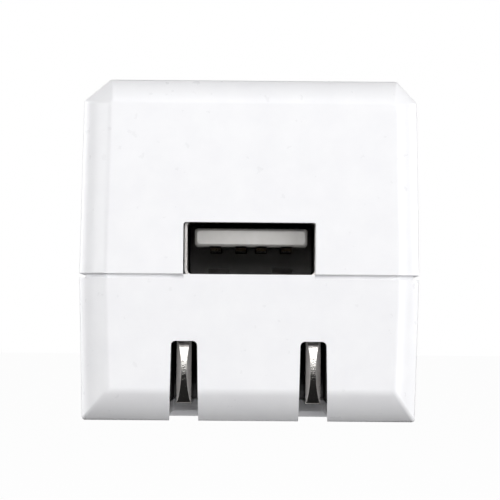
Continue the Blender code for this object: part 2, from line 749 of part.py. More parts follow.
def main():
    for old in list(bpy.data.objects):
        bpy.data.objects.remove(old)

    white = material("white_case", (0.86, 0.86, 0.88), 0.28)
    tongue_white = material("tongue_plastic", (0.72, 0.71, 0.69), 0.45)
    black = material("black_plastic", (0.02, 0.02, 0.022), 0.5)
    nickel = material("nickel_plate", (0.78, 0.76, 0.72), 0.22, 1.0)
    steel = material("tinned_steel", (0.72, 0.72, 0.71), 0.3, 1.0)
    brass = material("phosphor_bronze", (0.75, 0.52, 0.28), 0.35, 1.0)
    gold = material("gold_plate", (0.95, 0.72, 0.32), 0.28, 1.0)
    board = material("board_green", (0.05, 0.22, 0.08), 0.4)
    ferrite = material("ferrite", (0.08, 0.08, 0.085), 0.7)
    phenolic = material("bobbin_plastic", (0.05, 0.045, 0.04), 0.55)
    tape = material("winding_tape", (0.75, 0.62, 0.12), 0.4)
    can = material("capacitor_sleeve", (0.05, 0.06, 0.12), 0.35)
    ceramic = material("disc_blue", (0.1, 0.25, 0.55), 0.5)
    resistor = material("resistor_body", (0.25, 0.45, 0.35), 0.5)

    works = bpy.data.objects.new("works", None)
    bpy.context.scene.collection.objects.link(works)
    pivot = bpy.data.objects.new("prong_axis", None)
    bpy.context.scene.collection.objects.link(pivot)
    pivot.parent = works
    pivot.location = (0.0, PIVOT_Y * MM, PIVOT_Z * MM)

    build_upper_shell(white)
    build_lower_shell(white)
    build_cradle(black, works)
    build_blades(nickel, pivot)
    build_hub(black, pivot)
    build_retainer(black, works)
    build_detent_spring(steel, works)

    leads = build_mains_contacts(brass, works)
    leads += build_receptacle(steel, tongue_white, gold, works)
    leads += build_transformer(ferrite, phenolic, tape, works)
    leads += build_capacitor("input_capacitor_left", can, works, (-9.2, 11.2), 4.0, 12.0)
    leads += build_capacitor("input_capacitor_right", can, works, (9.2, 11.2), 4.0, 12.0)
    leads += build_capacitor("output_capacitor", can, works, (10.6, -6.5), 3.15, 11.0)
    leads += build_inductor(ferrite, works)
    leads += build_resistor(resistor, works)
    leads += build_safety_capacitor(ceramic, works)
    build_board(board, leads, works)

    build_chip("bridge_rectifier", black, works, (6.0, 13.2), (2.35, 1.5), 1.9, (-1.2, 1.2))
    build_chip("controller_chip", black, works, (-5.0, 13.2), (2.45, 1.5), 1.4, (-1.9, -0.65, 0.65, 1.9))
    build_chip("output_rectifier", black, works, (11.9, -10.2), (1.3, 2.15), 1.8, (0.0,))


main()
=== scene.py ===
"""The looks of the folding-blade USB wall charger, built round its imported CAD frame.

The frame's axes: +Z is up, the USB face looks along -Y, and +X is to the right of that face.
Sizes here are millimetres, and MM turns them into metres where a mesh or a place is made.
"""

import math

import bmesh
import bpy
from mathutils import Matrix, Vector
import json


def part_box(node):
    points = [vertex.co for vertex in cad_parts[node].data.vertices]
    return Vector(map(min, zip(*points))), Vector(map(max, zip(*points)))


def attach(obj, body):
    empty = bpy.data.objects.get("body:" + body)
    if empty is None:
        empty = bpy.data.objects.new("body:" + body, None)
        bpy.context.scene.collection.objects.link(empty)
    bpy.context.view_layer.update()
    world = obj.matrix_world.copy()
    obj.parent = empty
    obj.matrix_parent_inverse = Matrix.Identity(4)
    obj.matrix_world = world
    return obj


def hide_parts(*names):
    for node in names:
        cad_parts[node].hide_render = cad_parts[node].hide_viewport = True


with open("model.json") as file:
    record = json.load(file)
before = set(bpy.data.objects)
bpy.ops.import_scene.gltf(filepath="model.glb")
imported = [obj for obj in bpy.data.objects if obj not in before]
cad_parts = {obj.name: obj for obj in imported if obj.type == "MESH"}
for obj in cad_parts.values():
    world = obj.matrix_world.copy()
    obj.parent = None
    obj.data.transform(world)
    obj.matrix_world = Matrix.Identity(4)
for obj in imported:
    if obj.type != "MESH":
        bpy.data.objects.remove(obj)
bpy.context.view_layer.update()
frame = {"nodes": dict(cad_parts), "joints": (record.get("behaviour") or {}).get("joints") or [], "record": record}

MM = 0.001


def corners(node):
    """A CAD node's lowest and highest corners, in millimetres."""
    low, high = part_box(node)
    return low / MM, high / MM


UPPER = corners("upper_shell")
LOWER = corners("lower_shell")
USB = corners("usb_shell")
TONGUE = corners("usb_tongue")
BLADES = {side: corners(name) for side, name in ((-1, "blade_left"), (1, "blade_right"))}
HUB = corners("blade_hub")
PIVOT = Vector(frame["joints"][0]["pos_m"]) / MM

# The case, as the frame gives it
FRONT = UPPER[0].y
HALF_DEPTH = UPPER[1].y
HEIGHT = UPPER[1].z
HALF_SEAM = UPPER[1].x
HALF_TOP = HALF_SEAM - 0.35
HALF_BOTTOM = HALF_SEAM - 0.35
FRONT_CORNER = 0.3
WALL = 2.0
FLOOR = 1.8

# The soft chamfer round the front and the back face, a little wider on the -X side
CHAMFER_LEFT = 2.6
CHAMFER_RIGHT = 2.0
CHAMFER_TOP = 2.15
CHAMFER_BOTTOM = 2.9
CHAMFER_DEPTH = 2.3
CHAMFER_CROWN = 0.35
DRAFT = math.tan(math.radians(0.8))

# The seam, its groove and the locating rim behind it
SEAM_HIGH = UPPER[0].z
SEAM_LOW = SEAM_HIGH - 0.4
SEAM = (SEAM_LOW + SEAM_HIGH) / 2
SEAM_DEPTH = 0.6
RIM_WIDTH = 1.2
RIM_TOP = LOWER[1].z
EDGE = 0.1

# How far cutters reach past what they cut, and the gaps between pieces that meet
BIG = 20.0
BEYOND = 5.0
FIT = 0.1
CLEAR = 0.3

# The USB opening and the blade slots
SLOT_MIDDLES = [(low.x + high.x) / 2 for low, high in BLADES.values()]
USB_X = (USB[0].x + USB[1].x) / 2
PORT_HALF = 6.5
PORT_TOP = 19.5
PORT_CORNER = 0.25
LIP_THICK = 1.0
SLOT_TOP = 7.85
SLOT_HALF_TOP = 1.28
SLOT_HALF_LOW = 1.45
SLOT_CORNER = 0.45
NOSE_RELIEF = (FRONT + 0.9, 8.45)
RECESS_HALF = 3.0
RECESS_DEPTH = 0.6
RECESS_ENDS = (FRONT + 2.8, PIVOT.y + 4.6)


# ---------------------------------------------------------------- mesh helpers


def add_loft(bm, rings):
    """A closed solid through rings that all have the same number of points."""
    loops = [[bm.verts.new(point) for point in ring] for ring in rings]
    bm.faces.new(loops[0])
    bm.faces.new(loops[-1])
    count = len(loops[0])
    for first, second in zip(loops, loops[1:]):
        for i in range(count):
            j = (i + 1) % count
            bm.faces.new((first[i], first[j], second[j], second[i]))


def fold_caps(bm, height):
    """Splits the flat-looking end faces where they cross a height, so that each half is flat."""
    for face in [face for face in bm.faces if len(face.verts) > 4]:
        ends = [vert for vert in face.verts if abs(vert.co.z - height) < 1e-4]
        ends = [min(ends, key=lambda vert: vert.co.x), max(ends, key=lambda vert: vert.co.x)]
        bmesh.utils.face_split(face, *ends)


def add_box(bm, x, y, z):
    """A box between the two values of each axis."""
    add_loft(bm, [[(x[0], y[0], h), (x[1], y[0], h), (x[1], y[1], h), (x[0], y[1], h)] for h in z])


def add_prism(bm, outline, axis, ends):
    """An outline of two coordinates, drawn out along the axis that it leaves open."""
    place = {
        "x": lambda a, b, end: (end, a, b),
        "y": lambda a, b, end: (a, end, b),
        "z": lambda a, b, end: (a, b, end),
    }[axis]
    add_loft(bm, [[place(a, b, end) for a, b in outline] for end in ends])


def rounded(points, radii, steps=4):
    """An outline's corners turned into arcs. Each corner has its own radius."""
    out = []
    for i, point in enumerate(points):
        here = Vector(point)
        before = (Vector(points[i - 1]) - here).normalized()
        after = (Vector(points[(i + 1) % len(points)]) - here).normalized()
        half = before.angle(after) / 2
        radius = radii[i]
        if radius <= 0 or half > math.radians(89):
            out += [tuple(here)] * (steps + 1)
            continue
        reach = radius / math.tan(half)
        middle = here + (before + after).normalized() * radius / math.sin(half)
        first = here + before * reach - middle
        last = here + after * reach - middle
        sweep = first.angle_signed(last)
        for step in range(steps + 1):
            turn = -sweep * step / steps
            spun = Vector(
                (
                    first.x * math.cos(turn) - first.y * math.sin(turn),
                    first.x * math.sin(turn) + first.y * math.cos(turn),
                )
            )
            out.append(tuple(middle + spun))
    return out


def rounded_box(low, high, radius, steps=5):
    """A rectangle with four equal round corners."""
    points = [(low[0], low[1]), (high[0], low[1]), (high[0], high[1]), (low[0], high[1])]
    return rounded(points, [radius] * 4, steps)


def strip(path, thickness):
    """The outline of a bent strip of one thickness about a path."""
    points = [Vector(point) for point in path]
    left, right = [], []
    for i, point in enumerate(points):
        before = (point - points[i - 1]).normalized() if i else None
        after = (points[i + 1] - point).normalized() if i + 1 < len(points) else None
        along = ((before or after) + (after or before)).normalized()
        side = Vector((-along.y, along.x))
        facing = Vector((-(after or before).y, (after or before).x))
        reach = thickness / 2 / max(0.3, side.dot(facing))
        left.append(tuple(point + side * reach))
        right.append(tuple(point - side * reach))
    return left + right[::-1]


def new_mesh(name, shape):
    """A mesh in metres from a function that adds to a bmesh in millimetres."""
    bm = bmesh.new()
    shape(bm)
    bmesh.ops.remove_doubles(bm, verts=bm.verts, dist=1e-5)
    bmesh.ops.recalc_face_normals(bm, faces=bm.faces)
    bmesh.ops.scale(bm, vec=(MM, MM, MM), verts=bm.verts)
    mesh = bpy.data.meshes.new(name)
    bm.to_mesh(mesh)
    bm.free()
    return mesh


def carve(name, base, steps):
    """A mesh made by Booleans from a base shape and (operation, shape) steps."""
    made = bpy.data.objects.new(name, new_mesh(name, base))
    bpy.context.scene.collection.objects.link(made)
    helpers = []
    for number, (operation, shape) in enumerate(steps):
        helper = bpy.data.objects.new(f"{name}_{number}", new_mesh(name, shape))
        bpy.context.scene.collection.objects.link(helper)
        modifier = made.modifiers.new(str(number), "BOOLEAN")
        modifier.operation = operation
        modifier.solver = "EXACT"
        modifier.use_self = True
        modifier.object = helper
        helpers.append(helper)
    graph = bpy.context.evaluated_depsgraph_get()
    mesh = bpy.data.meshes.new_from_object(made.evaluated_get(graph))
    made.modifiers.clear()
    made.data = mesh
    for helper in helpers:
        bpy.data.objects.remove(helper)
    return made


def soften(piece, width, wanted, segments=3):
    """Rounds the sharp convex edges whose ends and face normals the test accepts."""
    bm = bmesh.new()
    bm.from_mesh(piece.data)
    bmesh.ops.remove_doubles(bm, verts=bm.verts, dist=2e-6)
    bmesh.ops.dissolve_degenerate(bm, edges=bm.edges, dist=1e-6)
    bm.normal_update()
    edges = []
    for edge in bm.edges:
        if len(edge.link_faces) != 2 or not edge.is_convex:
            continue
        first, second = (face.normal for face in edge.link_faces)
        if first.angle(second, 0.0) < math.radians(28):
            continue
        if wanted([vert.co / MM for vert in edge.verts], first, second):
            edges.append(edge)
    bmesh.ops.bevel(
        bm,
        geom=edges,
        offset=width * MM,
        offset_type="OFFSET",
        segments=segments,
        profile=0.5,
        affect="EDGES",
        clamp_overlap=True,
    )
    bm.to_mesh(piece.data)
    bm.free()


def finish_piece(piece, body, slot_name, look, *nodes, sharp=35):
    """Shades a piece, gives it its material, ties it to its body and hides the CAD nodes that it stands in for."""
    mesh = piece.data
    mesh.materials.clear()
    mesh.materials.append(look)
    mesh.shade_smooth()
    mesh.set_sharp_from_angle(angle=math.radians(sharp))
    weigh = piece.modifiers.new("face_weighted_normals", "WEIGHTED_NORMAL")
    weigh.keep_sharp = True
    weigh.weight = 90
    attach(piece, body)
    if nodes:
        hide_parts(*nodes)
    return piece


# ---------------------------------------------------------------- the case


def chamfer_profile():
    """(inset, back) pairs from the flat end face out to the flat sides, both as shares of the chamfer."""

    def crowned(part):
        angle = part * math.pi / 2
        inward = (1 - CHAMFER_CROWN) * part + CHAMFER_CROWN * math.sin(angle)
        back = (1 - CHAMFER_CROWN) * part + CHAMFER_CROWN * (1 - math.cos(angle))
        return Vector((1 - inward, back))

    def bend(start, corner, end, steps):
        for i in range(steps + 1):
            t = i / steps
            yield start * (1 - t) ** 2 + corner * 2 * t * (1 - t) + end * t**2

    first, last, steps = 0.1, 0.92, 12
    points = list(bend(Vector((1.12, 0.0)), Vector((1.0, 0.0)), crowned(first), 4))
    points += [crowned(first + (last - first) * i / steps) for i in range(1, steps)]
    points += list(bend(crowned(last), Vector((0.0, 1.0)), Vector((0.0, 1.12)), 4))
    return [tuple(point) for point in points]


def case_section(inset):
    """The case's outline across its depth, anticlockwise, with inset 1 on the end faces."""
    low = CHAMFER_BOTTOM * inset
    high = HEIGHT - CHAMFER_TOP * inset
    share = min(1.0, inset)
    drop = CHAMFER_TOP + (FRONT_CORNER - CHAMFER_TOP) * share
    bend = 0.5 - 0.3 * share

    def half(sign, chamfer):
        side = chamfer * inset
        corner = chamfer + (FRONT_CORNER - chamfer) * share
        return [
            (sign * (HALF_BOTTOM - side), low),
            (sign * (HALF_SEAM - side), SEAM),
            (sign * (HALF_TOP - side), high - drop),
            (sign * (HALF_TOP - side - corner), high),
        ]

    points = half(1, CHAMFER_RIGHT) + half(-1, CHAMFER_LEFT)[::-1]
    return rounded(points, [0.3, 0.0, bend, bend, bend, bend, 0.0, 0.3])


def drafted(y, z):
    """A depth, drawn in towards the top and the bottom by the end faces' draft."""
    return y * (1 - DRAFT * abs(z - SEAM) / HALF_DEPTH)


def add_case(bm):
    """The whole case as one solid block, widest and deepest at its seam."""
    ends = [(inset, FRONT + back * CHAMFER_DEPTH) for inset, back in chamfer_profile()]
    rings = ends + [(inset, -y) for inset, y in reversed(ends)]
    add_loft(bm, [[(x, drafted(y, z), z) for x, z in case_section(inset)] for inset, y in rings])
    fold_caps(bm, SEAM)


def seam_plan(inward):
    """The case's outline at the seam with its corners cut off, from above, moved inward."""
    half_x = HALF_SEAM - inward
    half_y = HALF_DEPTH - inward

    def half(sign, chamfer):
        """One side, whose slanting corner has moved as far inward as the walls have."""
        slant = inward * math.hypot(chamfer, CHAMFER_DEPTH)
        reach = CHAMFER_DEPTH * (HALF_SEAM - chamfer) + chamfer * HALF_DEPTH - slant
        cut_x = sign * (reach - chamfer * half_y) / CHAMFER_DEPTH
        cut_y = (reach - CHAMFER_DEPTH * half_x) / chamfer
        return [(cut_x, -half_y), (sign * half_x, -cut_y), (sign * half_x, cut_y), (cut_x, half_y)]

    return half(1, CHAMFER_RIGHT) + half(-1, CHAMFER_LEFT)[::-1]


def add_cavity(bm, low, high):
    """The space inside the walls, between two heights."""
    half_x = HALF_TOP - WALL
    half_y = HALF_DEPTH - WALL
    points = [(-half_x, low), (half_x, low), (half_x, high), (-half_x, high)]
    add_prism(bm, rounded(points, [0.0, 0.0, 1.5, 1.5]), "y", (-half_y, half_y))


def faces_out(point, normal):
    """True where a face looks away from the middle of the case."""
    return normal.x * point.x + normal.y * point.y > 0


def make_upper_case(look):
    def port(bm):
        left, right = -PORT_HALF, PORT_HALF
        points = [(left, SEAM_LOW), (right, SEAM_LOW), (right, PORT_TOP), (left, PORT_TOP)]
        outline = rounded(points, [0.0, 0.0, PORT_CORNER, PORT_CORNER])
        add_prism(bm, outline, "y", (FRONT - 1, USB[0].y + 1))

    def pocket(bm):
        x = (USB[0].x - CLEAR, USB[1].x + CLEAR)
        add_box(bm, x, (USB[0].y - FIT, USB[0].y + 2), (SEAM_LOW, USB[1].z + CLEAR))

    def rebate(bm):
        """Where the lower case's rim comes in."""
        add_prism(bm, seam_plan(SEAM_DEPTH - FIT), "z", (SEAM_LOW, RIM_TOP + 2 * FIT))

    piece = carve(
        "case_upper",
        add_case,
        [
            ("DIFFERENCE", lambda bm: add_box(bm, (-BIG, BIG), (-BIG, BIG), (-BEYOND, SEAM_HIGH))),
            ("DIFFERENCE", lambda bm: add_cavity(bm, SEAM_LOW - 1, HEIGHT - WALL)),
            ("DIFFERENCE", rebate),
            ("DIFFERENCE", port),
            ("DIFFERENCE", pocket),
        ],
    )

    def seam_edge(points, first, second):
        level = all(abs(point.z - SEAM_HIGH) < 0.01 for point in points)
        upright = first if abs(first.z) < abs(second.z) else second
        return level and faces_out(points[0], upright)

    def port_edge(points, first, second):
        on_face = all(point.y < FRONT + 0.15 and abs(point.x) < PORT_HALF + 0.1 for point in points)
        return on_face and max(point.z for point in points) < PORT_TOP + 0.1

    soften(piece, EDGE, seam_edge)
    soften(piece, EDGE / 2, port_edge)
    return finish_piece(piece, "housing", "white_case", look, "upper_shell")


def make_lower_case(look):
    def port_gap(bm):
        x = (-PORT_HALF, PORT_HALF)
        add_box(bm, x, (FRONT - 1, FRONT + LIP_THICK + FIT), (SEAM_LOW, RIM_TOP + 1))

    def port_seat(bm):
        x = (USB[0].x - CLEAR, USB[1].x + CLEAR)
        add_box(bm, x, (FRONT + LIP_THICK, FRONT + 4), (SEAM_LOW - CLEAR, RIM_TOP + 1))

    def lip(bm):
        x = (0.02 - PORT_HALF, PORT_HALF - 0.02)
        add_box(bm, x, (FRONT, FRONT + LIP_THICK), (SEAM_LOW - 0.2, SEAM_HIGH))

    def slots(bm):
        back = BLADES[1][1].z + PIVOT.y - PIVOT.z + CLEAR
        for middle in SLOT_MIDDLES:
            points = [
                (middle - SLOT_HALF_LOW, -1.0),
                (middle + SLOT_HALF_LOW, -1.0),
                (middle + SLOT_HALF_TOP, SLOT_TOP),
                (middle - SLOT_HALF_TOP, SLOT_TOP),
            ]
            outline = rounded(points, [0.0, 0.0, SLOT_CORNER, SLOT_CORNER])
            add_prism(bm, outline, "y", (FRONT - 1, back))

    def nose_reliefs(bm):
        """Room for the top of each blade's nose behind the top of its slot."""
        front, top = NOSE_RELIEF
        for middle in SLOT_MIDDLES:
            x = (middle - SLOT_HALF_TOP, middle + SLOT_HALF_TOP)
            add_box(bm, x, (front, FRONT + WALL + 1), (SLOT_TOP - 1, top))

    def recesses(bm):
        """A shallow recess in the wall face round each blade."""
        for middle in SLOT_MIDDLES:
            add_box(bm, (middle - RECESS_HALF, middle + RECESS_HALF), RECESS_ENDS, (-1, RECESS_DEPTH))

    def rim(bm):
        add_prism(bm, seam_plan(SEAM_DEPTH), "z", (SEAM_LOW - 0.5, RIM_TOP))

    def rim_inside(bm):
        add_prism(bm, seam_plan(SEAM_DEPTH + RIM_WIDTH), "z", (SEAM_LOW - 0.4, RIM_TOP + BEYOND))

    piece = carve(
        "case_lower",
        add_case,
        [
            ("DIFFERENCE", lambda bm: add_box(bm, (-BIG, BIG), (-BIG, BIG), (SEAM_LOW, HEIGHT + BEYOND))),
            ("UNION", rim),
            ("DIFFERENCE", lambda bm: add_cavity(bm, FLOOR, RIM_TOP + BEYOND)),
            ("DIFFERENCE", rim_inside),
            ("DIFFERENCE", port_gap),
            ("DIFFERENCE", port_seat),
            ("UNION", lip),
            ("DIFFERENCE", slots),
            ("DIFFERENCE", nose_reliefs),
            ("DIFFERENCE", recesses),
        ],
    )

    def seam_edge(points, first, second):
        level = all(abs(point.z - SEAM_LOW) < 0.01 for point in points)
        upright = first if abs(first.z) < abs(second.z) else second
        return level and faces_out(points[0], upright)

    def slot_edge(points, first, second):
        beside = all(min(abs(point.x - x) for x in SLOT_MIDDLES) < SLOT_HALF_LOW + 0.1 for point in points)
        outside = all(point.y < FRONT + CHAMFER_DEPTH or point.z < 0.01 for point in points)
        into_slot = max(abs(first.x), abs(second.x)) > 0.9 or min(first.z, second.z) < -0.5
        low = all(point.z < SLOT_TOP + 0.1 for point in points)
        return beside and outside and into_slot and low

    soften(piece, EDGE, seam_edge)
    soften(piece, EDGE, slot_edge)
    return finish_piece(piece, "housing", "white_case", look, "lower_shell")


# ---------------------------------------------------------------- the USB receptacle


def make_usb_shell(look):
    """A folded sheet tube with two sprung tabs in its floor and its board legs."""
    sheet = 0.3
    outer_bend = 0.75
    low, high = USB
    bottom = 14.12
    top_of_floor = bottom + sheet
    tab_half = 1.0
    window_half = 1.2
    tab_middles = (USB_X - 3.1, USB_X + 3.1)

    def tube(bm):
        add_prism(bm, rounded_box((low.x, bottom), (high.x, high.z), outer_bend), "y", (low.y, high.y))

    def bore(bm):
        inner_bend = outer_bend - sheet
        inner = rounded_box((low.x + sheet, top_of_floor), (high.x - sheet, high.z - sheet), inner_bend)
        add_prism(bm, inner, "y", (low.y - 1, high.y + 1))

    def windows(bm):
        for middle in tab_middles:
            x = (middle - window_half, middle + window_half)
            add_box(bm, x, (-16.1, -9.2), (bottom - 0.62, top_of_floor + 0.1))

    def tabs(bm):
        path = [(-9.0, -0.15), (-10.5, -0.1), (-12.0, 0.12), (-13.4, 0.42)]
        path += [(-14.2, 0.5), (-14.9, 0.4), (-15.8, 0.02)]
        outline = strip([(y, top_of_floor + z) for y, z in path], 0.28)
        for middle in tab_middles:
            add_prism(bm, outline, "x", (middle - tab_half, middle + tab_half))

    def legs(bm):
        for x in ((low.x, low.x + sheet), (high.x - sheet, high.x)):
            add_box(bm, x, (-9.4, -8.2), (low.z, 15.5))

    piece = carve(
        "port_shell",
        tube,
        [("DIFFERENCE", bore), ("DIFFERENCE", windows), ("UNION", tabs), ("UNION", legs)],
    )
    soften(piece, 0.08, lambda points, a, b: all(abs(point.y - low.y) < 0.01 for point in points), 2)
    return finish_piece(piece, "housing", "usb_steel", look, "usb_shell")


def make_tongue(look):
    """The moulded insulator: a block at the back and a thin tongue with a softened front."""
    low, high = TONGUE
    root = -5.0
    blade_low, blade_high, half = 17.15, 18.95, 5.55

    def block(bm):
        add_prism(bm, rounded_box((low.x, low.z), (high.x, high.z), 0.3), "y", (root, high.y))

    def blade(bm):
        rings = []
        softened = ((0.0, 0.3), (0.03, 0.24), (0.3, 0.1), (0.7, 0.0))
        for back, inset in (*softened, (-low.y + root + 0.4, 0.0)):
            left, right = USB_X - half + inset, USB_X + half - inset
            outline = rounded_box((left, blade_low + inset), (right, blade_high - inset), 0.32)
            rings.append([(x, low.y + back, z) for x, z in outline])
        add_loft(bm, rings)

    def ways(bm):
        for x in (USB_X + way for way in (-3.5, -1.0, 1.0, 3.5)):
            add_box(bm, (x - 0.6, x + 0.6), (root - 1, high.y + 1), (blade_low - 0.5, blade_low))
            add_box(bm, (x - 0.56, x + 0.56), (low.y + 0.4, root + 0.2), (blade_low - 0.5, blade_low + 0.08))

    piece = carve("port_tongue", block, [("UNION", blade), ("DIFFERENCE", ways)])
    return finish_piece(piece, "housing", "tongue_plastic", look, "usb_tongue")


# ---------------------------------------------------------------- the blades


def make_blade(side, name, node, look):
    """A stamped mains blade, lying folded, whose nose is coined thin from both faces."""
    low, high = BLADES[side]
    middle = (low.x + high.x) / 2
    half_thick = (high.x - low.x) / 2
    half_wide = (high.z - low.z) / 2
    shank = 2.0
    shoulder = PIVOT.y + HUB[0].z - PIVOT.z - 0.1
    nose_radius = 10.5
    corner = 0.3
    wide_steps = 14

    def nose_y(z):
        """The nose's edge: one broad arc with rounded corners."""
        sweep = low.y + nose_radius - math.sqrt(nose_radius**2 - z**2)
        into = max(0.0, abs(z) - (half_wide - corner))
        return sweep + corner - math.sqrt(max(0.0, corner**2 - into**2))

    def blank(bm):
        nose = [-half_wide * math.cos(math.pi * i / wide_steps) for i in range(wide_steps + 1)]
        outline = [(nose_y(z), PIVOT.z + z) for z in nose]
        outline += [(shoulder, high.z), (shoulder, PIVOT.z + shank)]
        tail = high.y - PIVOT.y
        turn = math.asin(shank / tail)
        for i in range(13):
            angle = turn * (1 - i / 6)
            outline.append((PIVOT.y + tail * math.cos(angle), PIVOT.z + tail * math.sin(angle)))
        outline += [(shoulder, PIVOT.z - shank), (shoulder, low.z)]
        add_prism(bm, outline, "x", (low.x, high.x))

    def bevels(bm):
        nose_half = 0.27
        run = 0.6
        past = 0.3
        lean = past * (half_thick - nose_half) / run
        for face in (-1, 1):
            inner = middle + face * (nose_half - lean)
            outer = middle + face * (half_thick + lean)
            outline = [(inner, low.y - past), (outer, low.y - past), (outer, low.y + run + past)]
            add_prism(bm, outline, "z", (low.z - 1, high.z + 1))

    def hole(bm):
        from_wall_face = 11.9
        radius = 1.5
        steps = 40
        centre_y = PIVOT.y - PIVOT.z - from_wall_face
        ring = []
        for i in range(steps):
            angle = math.tau * i / steps
            ring.append((centre_y + radius * math.cos(angle), PIVOT.z + radius * math.sin(angle)))
        add_prism(bm, ring, "x", (low.x - 1, high.x + 1))

    piece = carve(name, blank, [("DIFFERENCE", bevels), ("DIFFERENCE", hole)])
    soften(piece, 0.05, lambda points, a, b: all(point.y < shoulder + 0.1 for point in points), 3)
    return finish_piece(piece, "prongs", "nickel_plate", look, node)


# ---------------------------------------------------------------- materials


def node_of(tree, kind, **values):
    """A new node, whose named values are set as attributes or, where it has none such, as inputs."""
    made = tree.nodes.new(kind)
    for name, value in values.items():
        if hasattr(made, name):
            setattr(made, name, value)
        else:
            made.inputs[name.replace("_", " ")].default_value = value
    return made


def noise(tree, size, detail=3.0, stretch=(1, 1, 1)):
    """Noise whose grain is about so many millimetres, fixed to the piece."""
    where = node_of(tree, "ShaderNodeTexCoord")
    mapping = node_of(tree, "ShaderNodeMapping")
    mapping.inputs["Scale"].default_value = [1 / s for s in stretch]
    tree.links.new(where.outputs["Object"], mapping.inputs["Vector"])
    made = node_of(tree, "ShaderNodeTexNoise", Scale=1 / (size * MM), Detail=detail, Roughness=0.55)
    tree.links.new(mapping.outputs["Vector"], made.inputs["Vector"])
    return made.outputs["Fac"]


def spread(tree, source, low, high, span=(0.3, 0.7)):
    """A value between two limits, from a noise."""
    made = node_of(tree, "ShaderNodeMapRange")
    made.inputs["From Min"].default_value = span[0]
    made.inputs["From Max"].default_value = span[1]
    made.inputs["To Min"].default_value = low
    made.inputs["To Max"].default_value = high
    tree.links.new(source, made.inputs["Value"])
    return made.outputs["Result"]


def blend_colours(tree, factor, first, second):
    """A colour between two fixed ones."""
    made = node_of(tree, "ShaderNodeMix", data_type="RGBA")
    for socket in made.inputs:
        if socket.type == "RGBA" and socket.name == "A":
            socket.default_value = (*first, 1)
        if socket.type == "RGBA" and socket.name == "B":
            socket.default_value = (*second, 1)
    tree.links.new(factor, made.inputs[0])
    return next(out for out in made.outputs if out.type == "RGBA")


def painted_depth_shade(tree, colour, near, far, shade):
    """Painted shade: a colour that drops to a share of itself from one depth in the case to another, standing in
    for the shade deep inside the USB port.
    """
    where = node_of(tree, "ShaderNodeTexCoord")
    split = node_of(tree, "ShaderNodeSeparateXYZ")
    tree.links.new(where.outputs["Object"], split.inputs["Vector"])
    scale = node_of(tree, "ShaderNodeVectorMath", operation="SCALE")
    tree.links.new(colour, scale.inputs[0])
    tree.links.new(spread(tree, split.outputs["Y"], 1.0, shade, (near * MM, far * MM)), scale.inputs["Scale"])
    return scale.outputs["Vector"]


def surface(
    name,
    first,
    second,
    patch,
    rough,
    rough_size,
    bumps=(),
    metallic=0.0,
    stretch=(1, 1, 1),
    inside=None,
    **sockets,
):
    """A finish whose colour drifts between two tones over patches, with uneven gloss and relief.

    patch and rough_size are grain sizes in millimetres, rough is the lowest and highest roughness,
    bumps holds (grain, height) pairs in millimetres, and inside holds the two depths between which
    the colour darkens as painted shade, with the share of it that is left.
    """
    made = bpy.data.materials.new(name)
    made.use_nodes = True
    tree = made.node_tree
    shader = tree.nodes["Principled BSDF"]
    shader.inputs["Metallic"].default_value = metallic
    for socket, value in sockets.items():
        shader.inputs[socket.replace("_", " ")].default_value = value
    patches = spread(tree, noise(tree, patch, stretch=stretch), 0.0, 1.0)
    colour = blend_colours(tree, patches, first, second)
    # painted shade: the colour darkens with depth, standing in for the shade deep in the port
    if inside:
        colour = painted_depth_shade(tree, colour, *inside)
    tree.links.new(colour, shader.inputs["Base Color"])
    gloss = spread(tree, noise(tree, rough_size, stretch=stretch), *rough)
    tree.links.new(gloss, shader.inputs["Roughness"])
    normal = None
    for size, height in bumps:
        bump = node_of(tree, "ShaderNodeBump", Distance=height * MM, Strength=1.0)
        tree.links.new(noise(tree, size, stretch=stretch), bump.inputs["Height"])
        if normal:
            tree.links.new(normal, bump.inputs["Normal"])
        normal = bump.outputs["Normal"]
    if normal:
        tree.links.new(normal, shader.inputs["Normal"])
    return made


